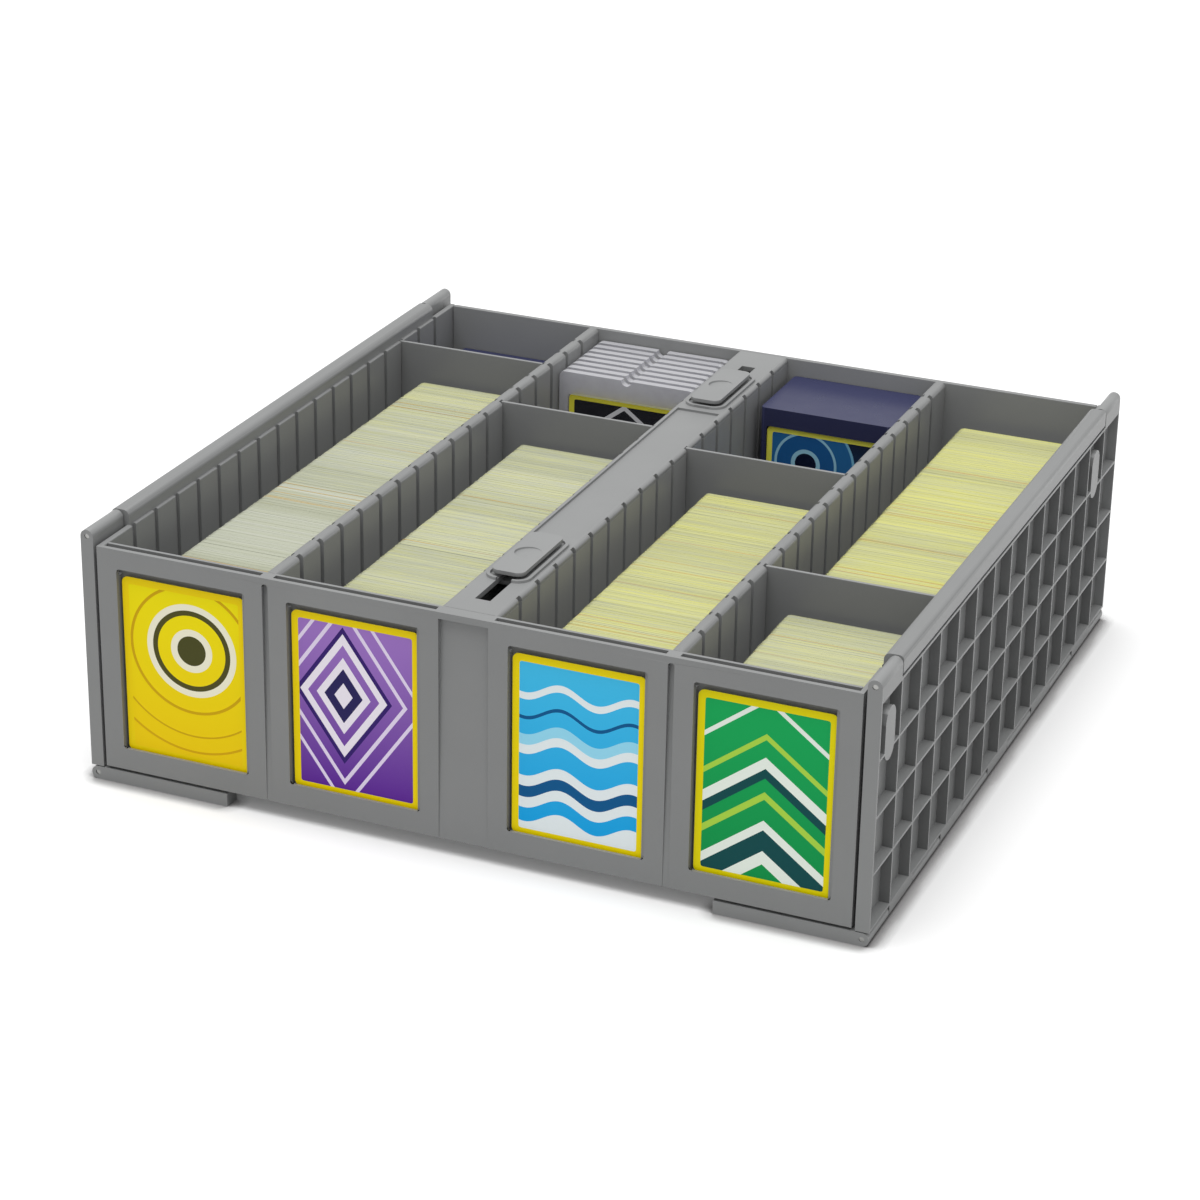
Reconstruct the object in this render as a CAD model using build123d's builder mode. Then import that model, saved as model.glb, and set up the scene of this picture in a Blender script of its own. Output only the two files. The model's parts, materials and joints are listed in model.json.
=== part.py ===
"""Four-row card storage bin with two bi-fold lids, label windows, dividers and sliding latches.

Millimetres, +Z up, +X to the right of the label windows, -Y out of the front.
The origin is the centre of the footprint on the surface that the bin stands on.
At rest the lids hang open at the sides, with their inner panels folded under the tray.
"""

import os

from build123d import *

os.makedirs("parts", exist_ok=True)

# Standard game cards, and how they lie in the bin
card_width = 63.0
card_height = 88.0
card_corner = 3.0
label_thickness = 0.4
stack_side_gap = 5.15
stack_front_gap = 4.0
stack_divider_gap = 4.0
stack_back_gap = 8.0
rear_stack_rows = ("row_4",)
seat_play = 0.1

# Rigid card holders and boxed decks that stand at the back of the rows
holder_row = "row_2"
holder_count = 8
holder_pitch = 7.0
holder_thickness = 4.0
holder_border = 13.0
holder_head = 14.0
holder_corner = 3.0
holder_notch = 3.0
holder_side_gap = 0.8
holder_back_gap = 1.0
box_height = {"row_1": 85.0, "row_3": 99.0}
box_side_gap = {"row_1": 7.5, "row_3": 4.5}
box_border = 7.0
box_depth = 51.0
box_corner = 2.0
box_back_gap = 0.5

# Tray walls, floor and rows
row_play = 17.3
row_wall = 6.4
row_wall_crown = 2.2
side_wall = 2.5
side_wall_round = 0.7
spine_wall = 2.5
front_wall_thickness = 1.6
back_wall_thickness = 3.0
floor_thickness = 3.0
foot_height = 1.5
foot_width = 24.0
foot_length = 60.0
foot_corner = 4.0
foot_inset = 69.0

# Grooves for the dividers
groove_pitch = 20.0
groove_count = 17
groove_end = 22.5
groove_width = 3.4
groove_depth = 1.5
row_groove_depth = 2.2
divider_thickness = 1.6
divider_play = 0.3
divider_grooves = {"row_1": 14, "row_2": 11, "row_3": 10, "row_4": 4}

# Front frame with its label windows
frame_face = 1.4
frame_lip = 0.8
label_slot = 3.2
label_gap = 0.3
label_trench = 1.5
window_margin = 1.3
window_sill = 9.4
window_head = 4.1
window_corner = 1.5
top_rail = 9.5
lip_overlap = 0.4
label_side_play = 0.4
guide_top_gap = 4.0
face_relief_tilt = 1.2
face_groove_width = 3.0
face_groove_top = 3.0
spine_panel_inset = 2.0
spine_panel_head = 3.2

# Lid panels and their hinges
lid_thickness = 6.5
lid_skin = 1.6
lid_rib = 1.2
lid_columns = 14
lid_rows = 4
inner_lid_rows = 2
lid_overhang = 3.0
lid_clearance = 0.6
lid_meeting_gap = 0.6
side_gap = 1.6
hinge_reach = 6.3
rail_lip = 1.6
rail_drop = 4.85
rail_inner_round = 3.0
rail_outer_round = 2.2
rail_end_gap = 1.0
upper_knuckle = 27.0
knuckle_gap = 0.5
hinge_slot = 33.0
hinge_slot_count = 5
hinge_end_land = 27.0
pin_radius = 1.25
pin_clearance = 0.05
pin_end_inset = 0.5
tab_height = 25.0
tab_width = 13.0
tab_drop = 20.0
tab_columns = (0, 12)

# Sliding latches on the spine
pad_length = 48.0
pad_width = 16.0
pad_thickness = 1.8
pad_corner = 4.0
pad_lift = 2.0
scoop_radius = 6.2
scoop_tilt = 4.5
scoop_depth = 0.5
neck_length = 12.0
neck_width = 6.8
neck_setback = 10.0
slot_clearance = 0.3
clip_length = 24.0
clip_width = 14.0
clip_thickness = 2.0
clip_gap = 0.3
clip_play = 0.05
ring_gap = 1.2
ring_width = 1.6
ring_height = 1.3
spine_shoulder = 3.2
shoulder_round = 2.0
cover_thickness = 2.5
recess_depth = 1.2
recess_lip = 2.8
recess_end_gap = 4.0
latch_inset = 62.0
latch_reach = {"front": 22.0, "rear": 14.0}
latch_side = {"front": -1, "rear": 1}
notch_clearance = 1.7
ledge_thickness = 1.1
ledge_gap = 1.0
ledge_overlap = 3.4

# Widths across the bin
row_width = card_width + row_play
spine_width = pad_width + 2 * (ring_gap + ring_width + spine_shoulder)
half_spine = spine_width / 2
row_wall_x = half_spine + row_width + row_wall / 2
side_inner_x = half_spine + 2 * row_width + row_wall
tray_half_width = side_inner_x + side_wall
inner_row_x = half_spine + row_width / 2
outer_row_x = side_inner_x - row_width / 2
row_x = {"row_1": -outer_row_x, "row_2": -inner_row_x, "row_3": inner_row_x, "row_4": outer_row_x}
hinge_x = tray_half_width + side_gap + lid_thickness / 2

# Depths from the front face to the back
frame_thickness = frame_face + frame_lip
interior_depth = (groove_count - 1) * groove_pitch + 2 * groove_end
front_depth = frame_thickness + label_slot + front_wall_thickness
tray_depth = front_depth + interior_depth + back_wall_thickness
lid_depth = tray_depth + lid_overhang
front_y = -lid_depth / 2
back_y = lid_depth / 2
tray_back_y = front_y + tray_depth
interior_front_y = front_y + front_depth
interior_back_y = interior_front_y + interior_depth
interior_mid_y = (interior_front_y + interior_back_y) / 2
latch_offset = interior_depth / 2 - latch_inset

# Heights above the table
tray_bottom = lid_thickness + foot_height
floor_top = tray_bottom + floor_thickness
tray_height = window_sill + card_height + window_head + top_rail
rim_z = tray_bottom + tray_height
hinge_z = rim_z + lid_clearance + lid_thickness / 2
low_hinge_z = lid_thickness / 2

# Hinge rail along the top of each side wall
rail_inner_x = side_inner_x + rail_lip
rail_outer_x = hinge_x + lid_thickness / 2
rail_top = hinge_z + lid_thickness / 2
rail_bottom = hinge_z - rail_drop

# Lid panels
outer_panel_top = hinge_z - hinge_reach
outer_panel_bottom = low_hinge_z + lid_thickness / 2 + knuckle_gap
outer_panel_height = outer_panel_top - outer_panel_bottom
column_pitch = (lid_depth - lid_rib) / lid_columns
outer_row_pitch = (outer_panel_height - lid_rib) / lid_rows
slot_pitch = (lid_depth - 2 * hinge_end_land - hinge_slot) / (hinge_slot_count - 1)
hinge_spacing = hinge_z - low_hinge_z
inner_edge_x = hinge_spacing + lid_meeting_gap / 2
foot_x = (inner_edge_x + hinge_x) / 2
slot_edge_x = hinge_x - lid_thickness / 2 - knuckle_gap
pin_hole = pin_radius + pin_clearance

# Latches, with lengths measured outward from the middle of each pad
neck_front = pad_length / 2 - neck_setback
ring_end = pad_length / 2 + ring_gap + ring_width
notch_half_width = pad_width / 2 + ring_gap + ring_width + notch_clearance
notch_edge_x = inner_edge_x + notch_half_width - lid_meeting_gap / 2
slot_width = neck_width + 2 * slot_clearance
slot_start = neck_front - neck_length - slot_clearance
slot_end = {name: ring_end + reach for name, reach in latch_reach.items()}
latch_travel = {name: end - slot_clearance - neck_front for name, end in slot_end.items()}
notch_start = -ring_end - notch_clearance
notch_end = {name: pad_length / 2 + travel + notch_clearance for name, travel in latch_travel.items()}
ledge_start = ring_end + ledge_gap
ledge_end = {name: pad_length / 2 + travel - ledge_gap for name, travel in latch_travel.items()}
latch_y = {name: interior_mid_y + sign * latch_offset for name, sign in latch_side.items()}

# The front face, and a plane sunk into it that is deepest at the rim
front_plane = Plane(origin=(0, front_y, 0), x_dir=(1, 0, 0), z_dir=(0, -1, 0))
relief_plane = front_plane.rotated((-face_relief_tilt, 0, 0))


def save(piece, name):
    """Name a finished piece and write it to its own file."""
    piece.part.label = name
    export_step(piece.part, f"parts/{name}.step")


def section_at(y):
    """Upright plane across the bin whose sketches extrude towards the front."""
    return Plane.XZ.offset(-y)


def latch_plane(name, z):
    """Level plane at a latch's middle, with its first axis pointing out of the bin."""
    return Plane(origin=(0, latch_y[name], z), x_dir=(0, latch_side[name], 0), z_dir=(0, 0, 1))


def groove_y(index):
    """Distance of a numbered groove along the rows."""
    return interior_front_y + groove_end + index * groove_pitch


with BuildPart() as tray_floor:
    with BuildSketch(Plane((0, interior_mid_y, tray_bottom))):
        Rectangle(2 * side_inner_x, interior_depth)
    extrude(amount=floor_thickness)
save(tray_floor, "tray_floor")

# Feet under the floor, standing on the folded lid panels
for end, end_sign in (("front", -1), ("rear", 1)):
    for side, side_sign in (("left", -1), ("right", 1)):
        with BuildPart() as foot:
            with BuildSketch(Plane((side_sign * foot_x, end_sign * (back_y - foot_inset), lid_thickness))):
                RectangleRounded(foot_width, foot_length, foot_corner)
            extrude(amount=foot_height)
        save(foot, f"{end}_{side}_foot")

# Front frame: the face with its windows, a thin lip at the right of each label, and the pockets' ribs
with BuildPart() as front_frame:
    frame_middle = (0, tray_bottom + tray_height / 2)
    pocket_height = card_height + window_head
    pocket_z = tray_bottom + window_sill + pocket_height / 2
    with BuildSketch(front_plane):
        with Locations(frame_middle):
            Rectangle(2 * tray_half_width, tray_height)
        with Locations(*[(x, pocket_z + label_trench / 2) for x in row_x.values()]):
            RectangleRounded(
                card_width + 2 * window_margin,
                pocket_height - label_trench,
                window_corner,
                mode=Mode.SUBTRACT,
            )
    extrude(amount=-frame_face)
    with BuildSketch(front_plane.offset(-frame_face)):
        with Locations(frame_middle):
            Rectangle(2 * tray_half_width, tray_height)
        with Locations(*[(x - (window_margin + lip_overlap) / 2, pocket_z) for x in row_x.values()]):
            Rectangle(card_width + window_margin - lip_overlap, pocket_height, mode=Mode.SUBTRACT)
    extrude(amount=-frame_lip)
    with BuildSketch(front_plane.offset(-frame_thickness)):
        with Locations((0, tray_bottom + window_sill / 2)):
            Rectangle(2 * side_inner_x, window_sill)
        with Locations(frame_middle):
            Rectangle(spine_width, tray_height)
        with Locations((-row_wall_x, frame_middle[1]), (row_wall_x, frame_middle[1])):
            Rectangle(row_wall, tray_height)
        guide_height = pocket_height - guide_top_gap
        guide_z = tray_bottom + window_sill + guide_height / 2
        for side, play in ((-1, window_margin), (1, label_side_play)):
            guide_width = (row_width - card_width) / 2 - play
            guide_offset = side * (row_width - guide_width) / 2
            with Locations(*[(x + guide_offset, guide_z) for x in row_x.values()]):
                Rectangle(guide_width, guide_height)
    extrude(amount=-label_slot)
    with BuildSketch(relief_plane):
        groove_top = tray_height - face_groove_top - face_groove_width / 2
        for x in (-row_wall_x, row_wall_x):
            with Locations((x, tray_bottom + groove_top / 2)):
                Rectangle(face_groove_width, groove_top)
            with Locations((x, tray_bottom + groove_top)):
                Circle(face_groove_width / 2)
        spine_panel_height = tray_height - spine_panel_head
        with Locations((0, tray_bottom + spine_panel_height / 2)):
            Rectangle(spine_width - 2 * spine_panel_inset, spine_panel_height)
    extrude(amount=front_depth, mode=Mode.SUBTRACT)
save(front_frame, "front_frame")

with BuildPart() as front_wall:
    front_wall_y = interior_front_y - front_wall_thickness / 2
    with BuildSketch(Plane((0, front_wall_y, tray_bottom))):
        Rectangle(2 * side_inner_x, front_wall_thickness)
    extrude(amount=tray_height)
save(front_wall, "front_wall")

with BuildPart() as back_wall:
    with BuildSketch(Plane((0, interior_back_y + back_wall_thickness / 2, tray_bottom))):
        Rectangle(2 * side_inner_x, back_wall_thickness)
    extrude(amount=tray_height)
save(back_wall, "back_wall")

# Walls between two rows, with rounded tops and deep grooves on both faces
for side, sign in (("left", -1), ("right", 1)):
    with BuildPart() as row_divide:
        with BuildSketch(section_at(interior_back_y)) as row_section:
            with Locations((sign * row_wall_x, (floor_top + rim_z) / 2)):
                Rectangle(row_wall, rim_z - floor_top)
            fillet(row_section.vertices().group_by(Axis.Y)[-1], row_wall_crown)
        extrude(amount=interior_depth)
        with BuildSketch(Plane((sign * row_wall_x, interior_mid_y, floor_top))):
            with GridLocations(row_wall, groove_pitch, 2, groove_count):
                Rectangle(2 * row_groove_depth, groove_width)
        extrude(amount=rim_z - floor_top, mode=Mode.SUBTRACT)
    save(row_divide, f"{side}_row_wall")

# Hollow middle spine: two grooved walls under one cover
for side, sign in (("left", -1), ("right", 1)):
    with BuildPart() as spine_side:
        with BuildSketch(Plane((sign * (half_spine - spine_wall / 2), interior_mid_y, floor_top))):
            Rectangle(spine_wall, interior_depth)
            with Locations((sign * spine_wall / 2, 0)):
                with GridLocations(spine_wall, groove_pitch, 1, groove_count):
                    Rectangle(2 * groove_depth, groove_width, mode=Mode.SUBTRACT)
        extrude(amount=rim_z - cover_thickness - floor_top)
    save(spine_side, f"{side}_spine_wall")

with BuildPart() as spine_cover:
    with BuildSketch(section_at(interior_back_y)) as cover_section:
        with Locations((0, rim_z - cover_thickness / 2)):
            Rectangle(spine_width, cover_thickness)
        fillet(cover_section.vertices().group_by(Axis.Y)[-1], shoulder_round)
    extrude(amount=interior_depth)
    with BuildSketch(Plane((0, interior_mid_y, rim_z))):
        with GridLocations(spine_width, groove_pitch, 2, groove_count):
            Rectangle(2 * groove_depth, groove_width)
    extrude(amount=-cover_thickness, mode=Mode.SUBTRACT)
    with BuildSketch(Plane((0, interior_mid_y, rim_z))):
        Rectangle(spine_width - 2 * recess_lip, 2 * (latch_offset - ring_end - recess_end_gap))
    extrude(amount=-recess_depth, mode=Mode.SUBTRACT)
    for latch in latch_side:
        ring_inner = (pad_length + 2 * ring_gap, pad_width + 2 * ring_gap)
        ring_outer = (ring_inner[0] + 2 * ring_width, ring_inner[1] + 2 * ring_width)
        with BuildSketch(latch_plane(latch, rim_z)):
            RectangleRounded(*ring_outer, pad_corner + ring_gap + ring_width)
            RectangleRounded(*ring_inner, pad_corner + ring_gap, mode=Mode.SUBTRACT)
        extrude(amount=ring_height)
        with BuildSketch(latch_plane(latch, rim_z + ring_height)):
            with Locations(((slot_start + slot_end[latch]) / 2, 0)):
                Rectangle(slot_end[latch] - slot_start, slot_width)
        extrude(amount=-cover_thickness - ring_height, mode=Mode.SUBTRACT)
save(spine_cover, "spine_cover")

# Side walls, each with the long hinge rail along its top
for side in ("left", "right"):
    with BuildPart() as side_panel:
        wall_front_y = front_y + frame_thickness
        with BuildSketch(section_at(tray_back_y)) as wall_section:
            with Locations((side_inner_x + side_wall / 2, tray_bottom + tray_height / 2)):
                Rectangle(side_wall, tray_height)
            wall_top = wall_section.vertices().group_by(Axis.Y)[-1]
            fillet(wall_top.sort_by(Axis.X)[0], side_wall_round)
        extrude(amount=tray_back_y - wall_front_y)
        with BuildSketch(Plane((side_inner_x, interior_mid_y, tray_bottom))):
            with GridLocations(side_wall, groove_pitch, 1, groove_count):
                Rectangle(2 * groove_depth, groove_width)
        extrude(amount=tray_height, mode=Mode.SUBTRACT)
        rail_front_y = front_y + upper_knuckle + rail_end_gap
        rail_back_y = back_y - upper_knuckle - rail_end_gap
        with BuildSketch(section_at(rail_back_y)) as rail_section:
            with Locations(((rail_inner_x + rail_outer_x) / 2, (rail_bottom + rail_top) / 2)):
                Rectangle(rail_outer_x - rail_inner_x, rail_top - rail_bottom)
            for end, radius in ((0, rail_inner_round), (-1, rail_outer_round)):
                rail_crest = rail_section.vertices().group_by(Axis.Y)[-1]
                fillet(rail_crest.sort_by(Axis.X)[end], radius)
            with Locations((hinge_x, hinge_z)):
                Circle(pin_hole, mode=Mode.SUBTRACT)
        extrude(amount=rail_back_y - rail_front_y)
        if side == "left":
            mirror(about=Plane.YZ, mode=Mode.REPLACE)
    save(side_panel, f"{side}_side_wall")

# Outer lid panels: a skin with a grid of ribs, end knuckles above and short knuckles below
for side in ("left", "right"):
    with BuildPart() as outer_panel:
        skin_plane = Plane.YZ.offset(hinge_x - lid_thickness / 2)
        panel_middle = (0, (outer_panel_top + outer_panel_bottom) / 2)
        with BuildSketch(skin_plane):
            with Locations(panel_middle):
                Rectangle(lid_depth, outer_panel_height)
        extrude(amount=lid_thickness)
        for knuckle_back_y in (front_y + upper_knuckle, back_y):
            with BuildSketch(section_at(knuckle_back_y)):
                with Locations((hinge_x, (hinge_z + outer_panel_top) / 2)):
                    Rectangle(lid_thickness, hinge_z - outer_panel_top)
                with Locations((hinge_x, hinge_z)):
                    Circle(lid_thickness / 2)
            extrude(amount=upper_knuckle)
        knuckle_length = hinge_slot - 2 * knuckle_gap
        for step in range(hinge_slot_count):
            knuckle_back_y = front_y + hinge_end_land + step * slot_pitch + hinge_slot - knuckle_gap
            with BuildSketch(section_at(knuckle_back_y)):
                with Locations((hinge_x, (low_hinge_z + outer_panel_bottom) / 2)):
                    Rectangle(lid_thickness, outer_panel_bottom - low_hinge_z)
                with Locations((hinge_x, low_hinge_z)):
                    Circle(lid_thickness / 2)
            extrude(amount=knuckle_length)
        with BuildSketch(section_at(back_y)):
            with Locations((hinge_x, hinge_z), (hinge_x, low_hinge_z)):
                Circle(pin_hole)
        extrude(amount=lid_depth, mode=Mode.SUBTRACT)
        with BuildSketch(skin_plane.offset(lid_skin)):
            with Locations(panel_middle):
                with GridLocations(column_pitch, outer_row_pitch, lid_columns, lid_rows):
                    Rectangle(column_pitch - lid_rib, outer_row_pitch - lid_rib)
            tab_y = [front_y + (lid_rib + column_pitch) / 2 + column * column_pitch for column in tab_columns]
            with Locations(*[(y, outer_panel_top - tab_drop) for y in tab_y]):
                SlotOverall(tab_height, tab_width, rotation=90, mode=Mode.SUBTRACT)
        extrude(amount=lid_thickness - lid_skin, mode=Mode.SUBTRACT)
        if side == "left":
            mirror(about=Plane.YZ, mode=Mode.REPLACE)
    save(outer_panel, f"{side}_lid_outer_panel")

# Inner lid panels, folded under the tray, with notches that go round the latches
for side in ("left", "right"):
    with BuildPart() as inner_panel:
        with BuildSketch(section_at(back_y)):
            with Locations(((inner_edge_x + hinge_x) / 2, low_hinge_z)):
                Rectangle(hinge_x - inner_edge_x, lid_thickness)
            with Locations((hinge_x, low_hinge_z)):
                Circle(lid_thickness / 2)
        extrude(amount=lid_depth)
        with BuildSketch():
            with Locations((slot_edge_x + lid_thickness, 0)):
                with GridLocations(lid_thickness, slot_pitch, 1, hinge_slot_count):
                    Rectangle(2 * lid_thickness, hinge_slot)
        extrude(amount=lid_thickness, mode=Mode.SUBTRACT)
        with BuildSketch():
            pocket_start_x = notch_edge_x + lid_rib
            inner_row_pitch = (slot_edge_x - pocket_start_x) / inner_lid_rows
            with Locations(((pocket_start_x + slot_edge_x - lid_rib) / 2, 0)):
                with GridLocations(inner_row_pitch, column_pitch, inner_lid_rows, lid_columns):
                    Rectangle(inner_row_pitch - lid_rib, column_pitch - lid_rib)
        extrude(amount=lid_thickness - lid_skin, mode=Mode.SUBTRACT)
        for latch, sign in latch_side.items():
            notch_length = notch_end[latch] - notch_start
            notch_y = latch_y[latch] + sign * (notch_end[latch] + notch_start) / 2
            notch_x = (inner_edge_x + notch_edge_x) / 2
            with BuildSketch():
                with Locations((notch_x, notch_y)):
                    Rectangle(notch_edge_x - inner_edge_x, notch_length)
            extrude(amount=lid_thickness, mode=Mode.SUBTRACT)
            ledge_width = notch_half_width - pad_width / 2 + ledge_overlap
            ledge_y = latch_y[latch] + sign * (ledge_end[latch] + ledge_start) / 2
            with BuildSketch():
                with Locations((notch_edge_x - ledge_width / 2, ledge_y)):
                    Rectangle(ledge_width, ledge_end[latch] - ledge_start)
            extrude(amount=ledge_thickness)
        with BuildSketch(section_at(back_y)):
            with Locations((hinge_x, low_hinge_z)):
                Circle(pin_hole)
        extrude(amount=lid_depth, mode=Mode.SUBTRACT)
        if side == "left":
            mirror(about=Plane.YZ, mode=Mode.REPLACE)
    save(inner_panel, f"{side}_lid_inner_panel")

# Steel pins of the four hinges
for side, sign in (("left", -1), ("right", 1)):
    for level, pin_z in (("upper", hinge_z), ("lower", low_hinge_z)):
        with BuildPart() as hinge_pin:
            with BuildSketch(section_at(back_y - pin_end_inset)):
                with Locations((sign * hinge_x, pin_z)):
                    Circle(pin_radius)
            extrude(amount=lid_depth - 2 * pin_end_inset)
        save(hinge_pin, f"{side}_{level}_hinge_pin")

# Latches: a thumb pad on a neck through the spine cover, held from below by a clip
for latch in latch_side:
    pad_bottom = rim_z + pad_lift
    clip_top = rim_z - cover_thickness - clip_gap
    neck_bottom = clip_top - clip_thickness
    neck_middle = (neck_front - neck_length / 2, 0)
    with BuildPart() as latch_pad:
        with BuildSketch(latch_plane(latch, pad_bottom)):
            RectangleRounded(pad_length, pad_width, pad_corner)
        extrude(amount=pad_thickness)
        with BuildSketch(latch_plane(latch, neck_bottom)):
            with Locations(neck_middle):
                Rectangle(neck_length, neck_width)
        extrude(amount=pad_bottom - neck_bottom)
        scoop_floor = latch_plane(latch, pad_bottom + pad_thickness - scoop_depth)
        with BuildSketch(scoop_floor.rotated((0, -scoop_tilt, 0))):
            Circle(scoop_radius)
        extrude(amount=pad_thickness + scoop_depth, mode=Mode.SUBTRACT)
    save(latch_pad, f"{latch}_latch")
    with BuildPart() as latch_clip:
        with BuildSketch(latch_plane(latch, neck_bottom)):
            with Locations(neck_middle):
                Rectangle(clip_length, clip_width)
                Rectangle(neck_length + 2 * clip_play, neck_width + 2 * clip_play, mode=Mode.SUBTRACT)
        extrude(amount=clip_thickness)
    save(latch_clip, f"{latch}_latch_clip")

# Dividers in their grooves, and the label cards behind the windows
for row, x in row_x.items():
    with BuildPart() as divider:
        with BuildSketch(Plane((x, groove_y(divider_grooves[row]), floor_top + seat_play))):
            Rectangle(row_width + 2 * (groove_depth - divider_play), divider_thickness)
        extrude(amount=rim_z - floor_top - seat_play)
    save(divider, f"{row}_divider")
    with BuildPart() as label:
        with BuildSketch(front_plane.offset(-frame_thickness - label_gap)):
            with Locations((x, tray_bottom + window_sill + seat_play + card_height / 2)):
                RectangleRounded(card_width, card_height, card_corner)
        extrude(amount=-label_thickness)
    save(label, f"{row}_label_card")

# Stacks of cards standing in the rows
stacks = {}
for row, index in divider_grooves.items():
    divider_front_y = groove_y(index) - divider_thickness / 2
    stacks[f"{row}_cards"] = (row, interior_front_y + stack_front_gap, divider_front_y - stack_divider_gap)
for row in rear_stack_rows:
    divider_back_y = groove_y(divider_grooves[row]) + divider_thickness / 2
    stacks[f"{row}_rear_cards"] = (row, divider_back_y + stack_divider_gap, interior_back_y - stack_back_gap)
for name, (row, stack_front_y, stack_end_y) in stacks.items():
    stack_x = row_x[row] + row_play / 2 - stack_side_gap
    with BuildPart() as stack:
        with BuildSketch(section_at(stack_end_y)):
            with Locations((stack_x, floor_top + seat_play + card_height / 2)):
                RectangleRounded(card_width, card_height, card_corner)
        extrude(amount=stack_end_y - stack_front_y)
    save(stack, name)

# Card holders standing one behind the other, each with a thumb notch in its top edge
for number in range(holder_count):
    holder_back_y = interior_back_y - holder_back_gap - (holder_count - 1 - number) * holder_pitch
    with BuildPart() as holder:
        holder_width = card_width + holder_border
        holder_height = card_height + holder_head
        holder_x = row_x[holder_row] - row_width / 2 + holder_side_gap + holder_width / 2
        holder_bottom = floor_top + seat_play
        with BuildSketch(section_at(holder_back_y)):
            with Locations((holder_x, holder_bottom + holder_height / 2)):
                RectangleRounded(holder_width, holder_height, holder_corner)
            with Locations((holder_x, holder_bottom + holder_height)):
                Circle(holder_notch, mode=Mode.SUBTRACT)
        extrude(amount=holder_thickness)
    save(holder, f"{holder_row}_holder_{number + 1}")

# Boxed decks
for row, height in box_height.items():
    with BuildPart() as deck_box:
        box_width = card_width + box_border
        box_x = row_x[row] - row_width / 2 + box_side_gap[row] + box_width / 2
        box_y = interior_back_y - box_back_gap - box_depth / 2
        with BuildSketch(Plane((box_x, box_y, floor_top + seat_play))):
            RectangleRounded(box_width, box_depth, box_corner)
        extrude(amount=height)
    save(deck_box, f"{row}_deck_box")
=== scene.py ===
import json
import math
import random

import bpy
from mathutils import Matrix, Vector


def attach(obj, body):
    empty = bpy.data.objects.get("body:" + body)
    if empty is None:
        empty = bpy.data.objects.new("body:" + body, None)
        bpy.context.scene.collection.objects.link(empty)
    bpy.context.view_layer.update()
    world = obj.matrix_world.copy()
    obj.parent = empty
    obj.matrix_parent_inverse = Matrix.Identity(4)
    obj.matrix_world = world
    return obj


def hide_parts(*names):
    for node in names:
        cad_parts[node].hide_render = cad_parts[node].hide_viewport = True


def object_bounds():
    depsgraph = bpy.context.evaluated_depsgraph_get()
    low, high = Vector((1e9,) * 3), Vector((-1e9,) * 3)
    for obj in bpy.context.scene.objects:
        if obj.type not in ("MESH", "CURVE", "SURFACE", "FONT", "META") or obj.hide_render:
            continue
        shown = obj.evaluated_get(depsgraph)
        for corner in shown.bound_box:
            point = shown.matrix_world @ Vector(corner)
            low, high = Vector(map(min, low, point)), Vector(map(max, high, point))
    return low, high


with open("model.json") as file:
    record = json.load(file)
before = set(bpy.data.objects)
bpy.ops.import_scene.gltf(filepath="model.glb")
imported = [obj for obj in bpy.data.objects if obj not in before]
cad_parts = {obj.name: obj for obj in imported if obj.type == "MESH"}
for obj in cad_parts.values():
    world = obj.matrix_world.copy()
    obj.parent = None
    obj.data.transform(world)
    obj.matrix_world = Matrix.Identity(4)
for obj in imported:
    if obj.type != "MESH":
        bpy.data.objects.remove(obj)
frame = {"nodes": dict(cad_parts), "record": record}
cadLow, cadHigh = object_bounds()
scene = bpy.context.scene
scene.view_settings.view_transform = "Standard"
mm = 0.001


# Camera
camera = {
    "place": (0.5631, -1.3869, 0.7157),     # metres, found by fitting the photo's edges
    "aim": (-0.01445, 0.0, 0.04813),
    "roll": 1.026,                          # degrees, the photo leans a little
    "focal": 3343.16,                       # in pixels of the square frame
    "framePixels": 1200,
    "sensor": 36.0,                         # mm
    "farClip": 20.0,                        # metres
}


def makeCamera():
    data = bpy.data.cameras.new("photoCamera")
    data.sensor_width = camera["sensor"]
    data.lens = camera["focal"] / camera["framePixels"] * camera["sensor"]
    data.clip_end = camera["farClip"]
    viewer = bpy.data.objects.new("photoCamera", data)
    scene.collection.objects.link(viewer)
    place = Vector(camera["place"])
    facing = (Vector(camera["aim"]) - place).to_track_quat("-Z", "Y")
    lean = Matrix.Rotation(math.radians(camera["roll"]), 4, "Z")
    viewer.matrix_world = Matrix.Translation(place) @ facing.to_matrix().to_4x4() @ lean
    scene.camera = viewer
    print("camera: lens", round(data.lens, 2), "mm")


makeCamera()


# Materials
def linear(hexColour):                      # from sRGB; a last pair of digits, where given, is the cover
    channels = [int(hexColour[i:i + 2], 16) / 255 for i in (1, 3, 5)]
    cover = int(hexColour[7:9] or "ff", 16) / 255
    return [c / 12.92 if c <= 0.04045 else ((c + 0.055) / 1.055) ** 2.4 for c in channels] + [cover]


def addNode(tree, kind, inputs=None, stops=(), blend="LINEAR", **settings):
    node = tree.nodes.new(kind)
    for name, value in settings.items():
        setattr(node, name, value)
    for index, (place, colour) in enumerate(stops):
        ramp = node.color_ramp
        ramp.interpolation = blend
        element = ramp.elements[index] if index < 2 else ramp.elements.new(place)
        element.position = place
        element.color = linear(colour)
    for name, value in (inputs or {}).items():
        if isinstance(value, bpy.types.NodeSocket):
            tree.links.new(value, node.inputs[name])
        else:
            node.inputs[name].default_value = value
    return node


def blankMaterial(name):
    made = bpy.data.materials.new(name)
    made.use_nodes = True
    made.node_tree.nodes.clear()
    return made, made.node_tree


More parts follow.
